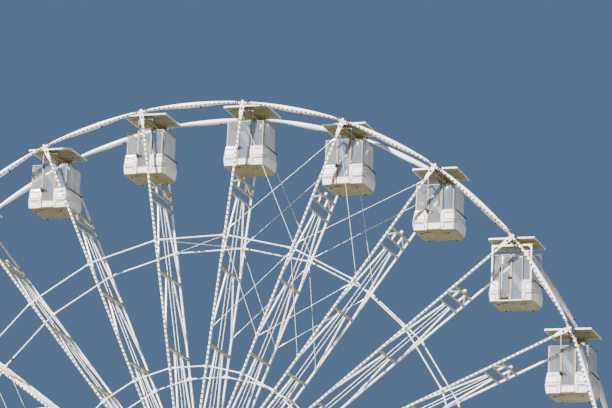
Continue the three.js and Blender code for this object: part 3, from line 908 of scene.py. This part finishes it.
def build_cabin(wide):
    shape = Shape()
    left, right = WIDE_DOOR if wide else STANDARD_DOOR
    starts = (DOOR_JAMB - left, DOOR_JAMB + right)
    wall(shape, TUB_ROWS, TUB_WALL, SHELL, starts)
    # Dark bands in the grooves under the sill and at the belt: painted shade of the grooves
    front_band(shape, -1.597, -1.575, 0.860, 0.804, 0.012, GROOVE_SHADE, starts)
    for low in (-1.918, -2.016):
        front_band(shape, low, low + 0.024, 0.912, 0.832, 0.012, GROOVE_SHADE, starts)
    panel_beads(shape, starts)
    side_rails(shape)
    # Jamb posts of the tub beside each door
    for x, side in product((-starts[0], starts[1]), ENDS):
        shape.box(about(x, 0.018), about(side * 0.80, 0.025), (TUB_BOTTOM, SILL), SHELL, THIN)
    # The pan under the floor and its ribs are painted in the olive that stands for their shade
    loops = []
    for z, half_x, half_y in PAN_ROWS:
        outline = half_outline(half_x, half_y, 0)
        loops.append([(x, y, z) for x, y in outline] + [(-x, y, z) for x, y in outline[-2:0:-1]])
    shape.loft(loops, PAINTED_SHADE_OLIVE)
    for x in (-0.42, 0.0, 0.42):
        shape.box(about(x, 0.025), about(0, 0.66), (-2.408, -2.396), PAINTED_SHADE_OLIVE, THIN)
    for x, y in spots(0.54, 0.60):
        shape.turned(PAN_FOOT, (x, y, -2.390), -Z, RUBBER)
    # Vents and a drain under the floor
    for side in ENDS:
        for i in range(5):
            x = side * (0.14 + i * 0.055)
            shape.box(about(x, 0.016), about(side * 0.70, 0.006), (-2.392, -2.368), RUBBER)
        shape.turned(PAN_DRAIN, (side * 0.33, -side * 0.52, -2.398), -Z, DARK_STEEL)
    # Sill, glazing and the rail over it
    wall(shape, SILL_ROWS, 0.12, SHELL, starts)
    for low, high, half_x, half_y, thickness, material in (
        (SILL + 0.014, SILL + 0.034, 0.836, 0.752, 0.04, RUBBER),
        (SILL + 0.034, SILL + 0.064, 0.828, 0.744, 0.035, WINDOW_FRAME),
        (SILL + 0.050, GLAZING_TOP - 0.02, 0.818, 0.734, 0.010, GLASS),
        (GLAZING_TOP - 0.034, GLAZING_TOP - 0.024, 0.826, 0.742, 0.026, RUBBER),
        (GLAZING_TOP - 0.024, GLAZING_TOP, 0.830, 0.746, 0.036, WINDOW_FRAME),
    ):
        wall(shape, ((low, half_x, half_y), (high, half_x, half_y)), thickness, material, starts)
    pane = (SILL + 0.05, GLAZING_TOP - 0.03)
    for side_x, side_y in CORNERS:
        shape.box(about(side_x * 0.806, 0.016), about(side_y * 0.56, 0.014), pane, WINDOW_FRAME, THIN)
        shape.box(about(side_x * 0.735, 0.018), about(side_y * 0.722, 0.020), pane, WINDOW_FRAME, THIN)
    for side in ENDS:
        shape.box(about(side * 0.812, 0.010), about(0, 0.011), pane, WINDOW_FRAME, FINE)
        bench(shape, side)
    if wide:
        wide_door_frame(shape)
    else:
        standard_door_frame(shape)
    # Pivot shaft with its collars; the shaft is painted in the shade olive under the canopy
    shape.rod(Y * -PIVOT_SHAFT_END, Y * PIVOT_SHAFT_END, PIVOT_SHAFT, PAINTED_SHADE_OLIVE, 18)
    for side in ENDS:
        shape.turned(COLLAR, Y * side * 1.02, Y * side, DARK_STEEL, 18)
    canopy(shape)
    return shape.mesh("cabin_wide" if wide else "cabin")


def face_depth(z):
    """Half depth of the tub at a height."""
    for (low, _, near), (high, _, far) in zip(TUB_ROWS[::-1], TUB_ROWS[-2::-1]):
        if low <= z <= high:
            return near + (far - near) * (z - low) / (high - low)
    return TUB_ROWS[0][2]


def panel_beads(shape, starts):
    """Dark outlines of the raised panels on the tub's front and back, with one round corner each: painted
    shade of the grooves round the panels.
    """
    for side, hand in CORNERS:
        inner = starts[0 if hand < 0 else 1] + PANEL_MARGIN
        for top, bottom, drop in PANELS:
            path = [(FRONT_FLAT - 0.03, top), (inner + drop, top)]
            for i in range(1, 6):
                turn = math.pi / 2 * i / 5
                path.append((inner + drop * (1 - math.sin(turn)), top - drop * (1 - math.cos(turn))))
            path.append((inner, bottom))
            points = [Vector((hand * x, side * (face_depth(z) + 0.001), z)) for x, z in path]
            for start, end in zip(points, points[1:]):
                across = (end - start).normalized().cross(Y)
                shape.bar(start, end, BEAD, GROOVE_SHADE, across=across, depth=0.008)


def side_rails(shape):
    """A dark rub rail along the sill of each side, with a knob at its back end."""
    for hand in ENDS:
        x = hand * 0.856
        shape.rod((x, -0.60, SILL + 0.034), (x, 0.66, SILL + 0.034), 0.024, RUBBER)
        shape.turned(RAIL_KNOB, (x, 0.66, SILL + 0.030), Y, RUBBER, 14)


def standard_door_frame(shape):
    for side in ENDS:
        y = side * POST_Y
        for x in about(0, POST_X):
            shape.box(about(x, 0.017), about(y, 0.024), (TUB_BOTTOM, -0.05), WINDOW_FRAME, 0.005)
            header = (GLAZING_TOP - 0.04, GLAZING_TOP)
            shape.box(about(x, 0.015), (side * 0.72, y), header, WINDOW_FRAME, THIN)
        # The beam under the canopy and the pivot caps are painted in the shade olive
        shape.box(about(0, POST_X + 0.020), about(y, 0.024), (-0.055, CANOPY_BOTTOM), PAINTED_SHADE_OLIVE, BROAD)
        shape.turned(PIVOT_CAP, (0, y + side * 0.022, 0), Y * side, PAINTED_SHADE_OLIVE, 20)
        door_leaf(shape, *STANDARD_DOOR, y, -2.035, 0.034)
        # Latch at the left jamb and its short bar
        face = y + side * 0.03
        jamb = side * POST_X
        shape.box(about(jamb, 0.035), (face, face + side * 0.05), (-1.62, -1.47), DARK_STEEL, SOFT)
        reach = (face, face + 0.04) if side > 0 else (face, face - 0.05)
        shape.box((jamb, jamb - side * 0.21), reach, (-1.565, -1.535), DARK_STEEL, THIN)


def wide_door_frame(shape):
    for side in ENDS:
        y = side * WIDE_POST_Y
        for x in about(0, WIDE_POST_X):
            shape.box(about(x, 0.030), about(y, 0.028), (SILL - 0.02, -0.15), STEEL, BROAD)
            shape.bar((x, y, -0.26), (x - math.copysign(0.11, x), y, -0.15), 0.05, STEEL, across=Y, edge=THIN)
        shape.box(about(0, WIDE_POST_X + 0.030), about(y, 0.028), (-0.17, -0.105), STEEL, BROAD)
        shape.box(about(0, 0.05), about(y, 0.026), (-0.12, CANOPY_BOTTOM), STEEL, SOFT)
        # Pivot cap painted in the shade olive
        shape.turned(PIVOT_CAP, (0, y + side * 0.024, 0), Y * side, PAINTED_SHADE_OLIVE, 20)
        for x in about(0, WIDE_POST_X):
            shape.box(about(x, 0.015), (side * 0.73, y), (GLAZING_TOP - 0.04, GLAZING_TOP), STEEL, THIN)
        y = side * WIDE_DOOR_Y
        left, right = WIDE_DOOR
        middle = WIDE_DOOR_MEETING
        for leaf in ((left, middle), (middle, right)):
            door_leaf(shape, *leaf, y, -2.26, 0.036)
        # Threshold, handle and kick bar
        shape.box((left - 0.02, right + 0.02), (y, y + side * 0.038), (-2.312, -2.272), SHELL, THIN)
        near, far = y + side * 0.02, y + side * 0.065
        shape.box((middle - 0.13, middle + 0.03), (near, far), (-1.425, -1.365), DARK_STEEL, BROAD)
        low, high = (near, far - 0.015) if side > 0 else (far, near + 0.015)
        shape.box((left + 0.05, middle - 0.05), (low, high), (-2.245, -2.175), DARK_STEEL, SOFT)
        shape.box((middle - 0.045, middle + 0.01), (low, high), (-2.25, -2.18), SHELL, 0.005)


# Stand


def leg_point(side, end, z):
    """Middle of a leg at a height."""
    fall = (HUB_HEIGHT - z) / (HUB_HEIGHT - BEAM_TOP)
    return Vector((end * FOOT_X * fall, side * (BEARING_Y + (FOOT_Y - BEARING_Y) * fall), z))


def leg_frame(side, end, z):
    """Middle of a leg with its width, depth and length directions."""
    middle = leg_point(side, end, z)
    along = (leg_point(side, end, z + 1) - middle).normalized()
    depthways = along.cross(X).normalized()
    return middle, depthways.cross(along), depthways, along


def i_beam(shape, start, end):
    """A welded I beam on the ground's foot plates, with stiffeners along its web and end plates."""
    start, end = Vector(start), Vector(end)
    along = (end - start).normalized()
    across = Vector((along.y, along.x, 0))
    axes = (across, along, Z)
    half = (end - start).length / 2
    middle = (start + end) / 2 + Z * (PAD_TOP + BEAM_TOP) / 2
    depth = (BEAM_TOP - PAD_TOP) / 2
    for level in ENDS:
        flange = (BEAM_HALF, half, BEAM_PLATE)
        shape.block(middle + Z * level * (depth - BEAM_PLATE), axes, flange, STAND_PAINT, FINE)
    shape.block(middle, axes, (0.010, half, depth - 0.020), STAND_PAINT)
    for tip in ENDS:
        face = middle + along * tip * half
        shape.block(face - along * tip * 0.012, axes, (BEAM_HALF, 0.012, depth), STAND_PAINT, FINE)
        shape.bolts([face + across * u + Z * v for u, v in spots(0.14, 0.12)], along * tip, 0.013)
    count = int(half * 2 / STIFFENER_PITCH)
    for i in range(1, count):
        at = middle + along * (2 * half * i / count - half)
        shape.block(at, axes, (BEAM_HALF - 0.012, 0.008, depth - 0.028), STAND_PAINT)


def build_base():
    shape = Shape()
    for side in ENDS:
        i_beam(shape, (-BEAM_REACH, side * FOOT_Y, 0), (BEAM_REACH, side * FOOT_Y, 0))
    for x in CROSS_BEAMS:
        reach = OUTRIGGER_Y + BEAM_HALF if abs(x) == FOOT_X else FOOT_Y - BEAM_HALF
        i_beam(shape, (x, -reach, 0), (x, reach, 0))
    crossings = list(product(CROSS_BEAMS, about(0, FOOT_Y)))
    for x, y in crossings + list(spots(FOOT_X, OUTRIGGER_Y)):
        shape.box(about(x, 0.40), about(y, 0.40), (0, 0.055), STAND_PAINT, SOFT)
        shape.box(about(x, 0.27), about(y, 0.27), (0.054, PAD_TOP), DARK_STEEL, THIN)
        shape.bolts([(x + u, y + v, 0.055) for u, v in spots(0.33, 0.33)], Z, 0.020)
    # Splice plates on the beams' tops where they cross
    for x, y in crossings:
        shape.box(about(x, 0.34), about(y, 0.34), about(BEAM_TOP, 0.012), STAND_PAINT, FINE)
        shape.bolts([(x + u, y + v, BEAM_TOP + 0.012) for u, v in spots(0.28, 0.28)], Z)
    return shape.mesh("base")


def build_leg_fittings():
    shape = Shape()
    for side, end in CORNERS:
        # Foot plate with gussets
        foot = leg_point(side, end, BEAM_TOP)
        low, top = BEAM_TOP + 0.012, BEAM_TOP + 0.042
        shape.box(about(foot.x, FOOT_HALF), about(foot.y, FOOT_HALF), (low, top), STAND_PAINT, THIN)
        grid = product((-0.26, 0.26), (-0.26, 0.0, 0.26))
        shape.bolts([(foot.x + u, foot.y + v, top) for u, v in grid], Z)
        for turn in range(4):
            outward = Vector((math.cos(turn * math.pi / 2), math.sin(turn * math.pi / 2), 0))
            shape.plate(FOOT_GUSSET, foot, (outward, Z, Z.cross(outward)), 0.016, STAND_PAINT)
        # Bolted splices
        for z in SPLICE_HEIGHTS:
            middle, wide, deep, along = leg_frame(side, end, z)
            for shift in about(0, 0.016):
                half = (0.275, 0.275, BEAM_PLATE)
                shape.block(middle + along * shift, (wide, deep, along), half, STAND_PAINT, FINE)
            for (u, v), face in product(product((-0.243, -0.08, 0.08, 0.243), repeat=2), ENDS):
                if max(abs(u), abs(v)) > 0.2:
                    head = middle + wide * u + deep * v + along * face * 0.030
                    shape.bolts([head], along * face, 0.013)
        # Lug plates where ties and braces meet the leg
        for z, face in product(LUG_HEIGHTS, ENDS):
            middle, wide, deep, along = leg_frame(side, end, z)
            plate_at = middle + deep * face * (LEG_SIZE / 2 + 0.008)
            shape.block(plate_at, (wide, deep, along), (0.18, 0.010, 0.30), STAND_PAINT, FINE)
            plate_at += deep * face * 0.010
            grid = product((-0.13, 0.13), (-0.22, 0.0, 0.22))
            shape.bolts([plate_at + wide * u + along * v for u, v in grid], deep * face, 0.014)
    for side in ENDS:
        build_bearing(shape, side)
    for side, end in ((-1, 1), (1, -1)):
        ladder(shape, side, end)
    return shape.mesh("leg_fittings")


def build_bearing(shape, side):
    """Joint, cap bolts, end rings and grease cap of a bearing block."""
    half_x, half_y, half_z = BEARING_HALF
    y = side * BEARING_Y
    top = HUB_HEIGHT + half_z
    for low, high, paint in (
        (-0.055, -0.006, STAND_PAINT),
        (-0.006, 0.006, DARK_STEEL),
        (0.006, 0.055, STAND_PAINT),
    ):
        for sign in ENDS:
            xs = (sign * BEARING_BORE, sign * (half_x + 0.04))
            shape.box(xs, about(y, half_y + 0.012), (HUB_HEIGHT + low, HUB_HEIGHT + high), paint)
    for u, v in product((-0.33, 0.33), (-0.20, 0.0, 0.20)):
        shape.rod((u, y + v, HUB_HEIGHT + 0.05), (u, y + v, top + 0.045), 0.018, GALVANISED, 8)
        shape.bolts([(u, y + v, top)], Z, 0.030)
    for face in ENDS:
        end = (0, y + face * half_y, HUB_HEIGHT)
        shape.turned(BEARING_RING + BEARING_RING[:1], end, Y * face, STAND_PAINT, 32)
        middle = Vector(end) + Y * face * 0.028
        for i in range(12):
            outward = directions(math.radians(15 + i * 30))[0]
            shape.bolts([middle + outward * BEARING_RING_BOLTS], Y * face, 0.012)
    shape.turned(GREASE_CAP, (0, y, top), Z, GALVANISED, 10)


def ladder(shape, side, end):
    """An access ladder up the outer face of a leg."""
    low, high = LADDER_RUN
    bottom, wide, deep, along = leg_frame(side, end, low)
    top = leg_point(side, end, high)
    face = deep * (1 if deep.y * side > 0 else -1)
    lift = face * (LEG_SIZE / 2 + LADDER_STAND_OFF)
    rails = [wide * reach for reach in about(0, LADDER_HALF)]
    for rail in rails:
        shape.bar(bottom + lift + rail, top + lift + rail, 0.022, GALVANISED, across=wide, depth=0.060)
    length = (top - bottom).length
    for i in range(int(length / RUNG_PITCH) + 1):
        at = bottom + lift + along * (0.12 + i * RUNG_PITCH)
        shape.rod(at + rails[0], at + rails[1], 0.013, GALVANISED, 6)
    for i, rail in product(range(9), rails):
        start = bottom + along * (0.4 + (length - 0.8) * i / 8) + rail + face * (LEG_SIZE / 2 - 0.01)
        shape.bar(start, start + face * LADDER_STAND_OFF, 0.040, GALVANISED, across=wide, depth=0.012)


def railing(shape, start, end):
    """Posts, two rails and a toe plate along one edge of the deck."""
    start, end = Vector(start), Vector(end)
    count = max(1, round((end - start).length / POST_PITCH))
    for i in range(count + 1):
        foot = start.lerp(end, i / count)
        shape.rod(foot, foot + Z * RAIL_HEIGHT, RAIL_TUBE, GALVANISED)
        shape.turned(RAIL_FLANGE, foot, Z, GALVANISED, 10)
    for height in (0.55, RAIL_HEIGHT):
        shape.rod(start + Z * height, end + Z * height, RAIL_TUBE, GALVANISED)
    across = (end - start).normalized().cross(Z)
    shape.bar(start + Z * 0.06, end + Z * 0.06, 0.008, GALVANISED, across=across, depth=0.10)


def build_deck_fittings():
    shape = Shape()
    half_x, half_y = DECK_HALF
    edge_x, edge_y = half_x - 0.05, half_y - 0.05
    for side, end in CORNERS:
        railing(shape, (end * edge_x, side * 1.5, DECK_TOP), (end * edge_x, side * edge_y, DECK_TOP))
    railing(shape, (-edge_x, edge_y, DECK_TOP), (edge_x, edge_y, DECK_TOP))
    rail_x = STEP_HALF_WIDTH + 0.03
    for end in ENDS:
        railing(shape, (end * rail_x, -edge_y, DECK_TOP), (end * edge_x, -edge_y, DECK_TOP))
    # Edge channel, joists and post heads below the deck
    channel = (DECK_TOP - 0.135, DECK_TOP - 0.010)
    for end in ENDS:
        shape.box(about(end * half_x, 0.012), about(0, half_y), channel, STAND_PAINT, FINE)
        shape.box(about(0, half_x), about(end * half_y, 0.012), channel, STAND_PAINT, FINE)
    joist = (DECK_TOP - 0.22, DECK_TOP - 0.118)
    for x in (-1.8, -0.9, 0.0, 0.9, 1.8):
        shape.box(about(x, 0.03), about(0, half_y - 0.1), joist, STAND_PAINT, FINE)
    for x, y in product((-2.6, 2.6), (-4.7, -1.6, 1.6, 4.7)):
        for zs in ((BEAM_TOP + 0.013, BEAM_TOP + 0.030), (DECK_TOP - 0.14, DECK_TOP - 0.119)):
            shape.box(about(x, 0.15), about(y, 0.15), zs, STAND_PAINT, FINE)
        shape.bolts([(x + u, y + v, BEAM_TOP + 0.030) for u, v in spots(0.12, 0.12)], Z, 0.012)
    # Steps: nosings and handrails
    for i in range(1, STEP_COUNT):
        y, z = -half_y - i * STEP_GOING, DECK_TOP * (1 - i / STEP_COUNT)
        ys, zs = (y - 0.006, y + 0.035), (z - 0.035, z + 0.006)
        shape.box(about(0, STEP_HALF_WIDTH), ys, zs, DARK_STEEL, 0.002)
    for end in ENDS:
        feet = (0.05 - half_y, DECK_TOP), (0.06 - half_y - (STEP_COUNT - 1) * STEP_GOING, 0.02)
        feet = [Vector((end * rail_x, y, z)) for y, z in feet]
        tops = [foot + Z * RAIL_HEIGHT for foot in feet]
        for foot, top in zip(feet, tops):
            shape.rod(foot, top, RAIL_TUBE, GALVANISED)
        shape.rod(*tops, RAIL_TUBE, GALVANISED)
        shape.rod(*[top - Z * 0.5 for top in tops], 0.018, GALVANISED)
    return shape.mesh("deck_fittings")


# Put the wheel together

wheel_at = Matrix.Translation((0, 0, HUB_HEIGHT))
spoke_mesh = build_spoke()
for number in range(1, BAYS + 1):
    turned = wheel_at @ Matrix.Rotation(spoke_angle(number), 4, "Y")
    name = "spoke_%02d" % number
    place(spoke_mesh, name + "_lattice", "wheel", "wheel_steel", [name], turned)

for side, name in ((-1, "front"), (1, "back")):
    place(build_rim(side), name + "_rim_tube", "wheel", "wheel_steel", [name + "_rim"], wheel_at)
    for radius, ring in ((MID_RING, "mid_ring"), (INNER_RING, "inner_ring")):
        node = name + "_" + ring
        place(build_ring(radius, side), node + "_tubes", "wheel", "wheel_steel", [node], wheel_at)
place(build_bracing(), "wheel_bracing", "wheel", "wheel_steel", (), wheel_at)
place(build_hub(), "hub_casting", "wheel", "wheel_steel", ["hub"], wheel_at)

cabin_meshes = {False: build_cabin(False), True: build_cabin(True)}
for number in range(1, BAYS + 1):
    name = "cabin_%02d" % number
    mesh = cabin_meshes[number in WIDE_CABINS]
    at = Matrix.Translation(on_spoke(number, PIVOT_RADIUS, 0) + Z * HUB_HEIGHT)
    place(mesh, name + "_gondola", name + "_body", "cabin_shell", [name], at)

place(build_base(), "base_beams", "stand", "stand_steel", ["base_frame"])
place(build_leg_fittings(), "leg_fittings", "stand", "stand_steel")
place(build_deck_fittings(), "deck_fittings", "stand", "deck_plate")

for node, material in (
    ("front_legs", STAND_PAINT),
    ("back_legs", STAND_PAINT),
    ("boarding_platform", DECK),
    ("boarding_steps", DECK),
):
    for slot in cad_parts[node].material_slots:
        slot.link = "OBJECT"
        slot.material = material

# Studio

floor = Shape()
floor.add([(FLOOR_HALF * x, FLOOR_HALF * y, FLOOR_HEIGHT) for x, y in CORNERS], [(0, 2, 3, 1)], FLOOR)
put("studio_floor", floor.mesh("studio_floor"))

world = bpy.data.worlds.new("studio")
world.use_nodes = True
world.node_tree.nodes["Background"].inputs["Color"].default_value = SKY
world.node_tree.nodes["Background"].inputs["Strength"].default_value = 1.0
bpy.context.scene.world = world


def degrees(angles):
    return [math.radians(angle) for angle in angles]


def sun(name, strength, angles, spread, color=(1, 1, 1)):
    data = bpy.data.lights.new(name, "SUN")
    data.energy = strength
    data.angle = math.radians(spread)
    data.color = color
    put(name, data).rotation_euler = degrees(angles)


sun("key", *KEY_SUN)
sun("fill", *FILL_SUN)

camera_data = bpy.data.cameras.new("camera")
camera_data.lens = CAMERA_LENS
camera_data.sensor_width = CAMERA_SENSOR
camera_data.clip_end = CAMERA_REACH
camera = put("camera", camera_data)
camera.location = CAMERA_PLACE
camera.rotation_euler = degrees(CAMERA_ANGLES)
bpy.context.scene.camera = camera
